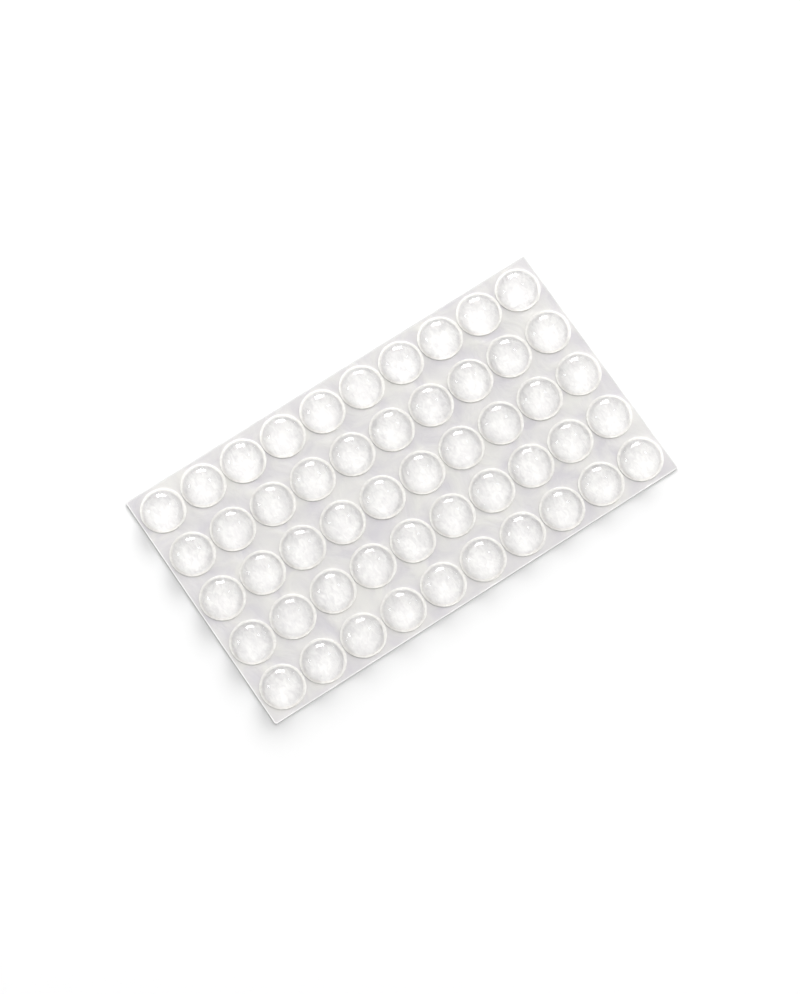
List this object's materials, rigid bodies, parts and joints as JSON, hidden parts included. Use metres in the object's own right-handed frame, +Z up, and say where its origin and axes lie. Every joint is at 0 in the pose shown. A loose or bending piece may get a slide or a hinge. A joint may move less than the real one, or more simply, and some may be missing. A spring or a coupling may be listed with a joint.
{
  "type": "cabinet door bumper sheet",
  "caption": "Clear soft door bumpers, each a dome with a thin flat brim round its foot, stuck in straight rows on one thin translucent liner.",
  "frame": {"origin": "under the middle of the liner, on the surface that the sheet lies on", "axes": "+X along the rows, the sheet's long side; +Y across the rows, towards the first one; +Z up through the domes"},
  "size_m": [0.1102, 0.0632, 0.0041],
  "materials": {
    "clear_rubber": "gloss",
    "liner_film": "satin"
  },
  "bodies": {
    "root": {"liner": "liner_film", "bumper_row1_col01": "clear_rubber", "bumper_row1_col02": "clear_rubber", "bumper_row1_col03": "clear_rubber", "bumper_row1_col04": "clear_rubber", "bumper_row1_col05": "clear_rubber", "bumper_row1_col06": "clear_rubber", "bumper_row1_col07": "clear_rubber", "bumper_row1_col08": "clear_rubber", "bumper_row1_col09": "clear_rubber", "bumper_row1_col10": "clear_rubber", "bumper_row2_col01": "clear_rubber", "bumper_row2_col02": "clear_rubber", "bumper_row2_col03": "clear_rubber", "bumper_row2_col04": "clear_rubber", "bumper_row2_col05": "clear_rubber", "bumper_row2_col06": "clear_rubber", "bumper_row2_col07": "clear_rubber", "bumper_row2_col08": "clear_rubber", "bumper_row2_col09": "clear_rubber", "bumper_row2_col10": "clear_rubber", "bumper_row3_col01": "clear_rubber", "bumper_row3_col02": "clear_rubber", "bumper_row3_col03": "clear_rubber", "bumper_row3_col04": "clear_rubber", "bumper_row3_col05": "clear_rubber", "bumper_row3_col06": "clear_rubber", "bumper_row3_col07": "clear_rubber", "bumper_row3_col08": "clear_rubber", "bumper_row3_col09": "clear_rubber", "bumper_row3_col10": "clear_rubber", "bumper_row4_col01": "clear_rubber", "bumper_row4_col02": "clear_rubber", "bumper_row4_col03": "clear_rubber", "bumper_row4_col04": "clear_rubber", "bumper_row4_col05": "clear_rubber", "bumper_row4_col06": "clear_rubber", "bumper_row4_col07": "clear_rubber", "bumper_row4_col08": "clear_rubber", "bumper_row4_col09": "clear_rubber", "bumper_row4_col10": "clear_rubber", "bumper_row5_col01": "clear_rubber", "bumper_row5_col02": "clear_rubber", "bumper_row5_col03": "clear_rubber", "bumper_row5_col04": "clear_rubber", "bumper_row5_col05": "clear_rubber", "bumper_row5_col06": "clear_rubber", "bumper_row5_col07": "clear_rubber", "bumper_row5_col08": "clear_rubber", "bumper_row5_col09": "clear_rubber", "bumper_row5_col10": "clear_rubber"}
  },
  "joints": []
}
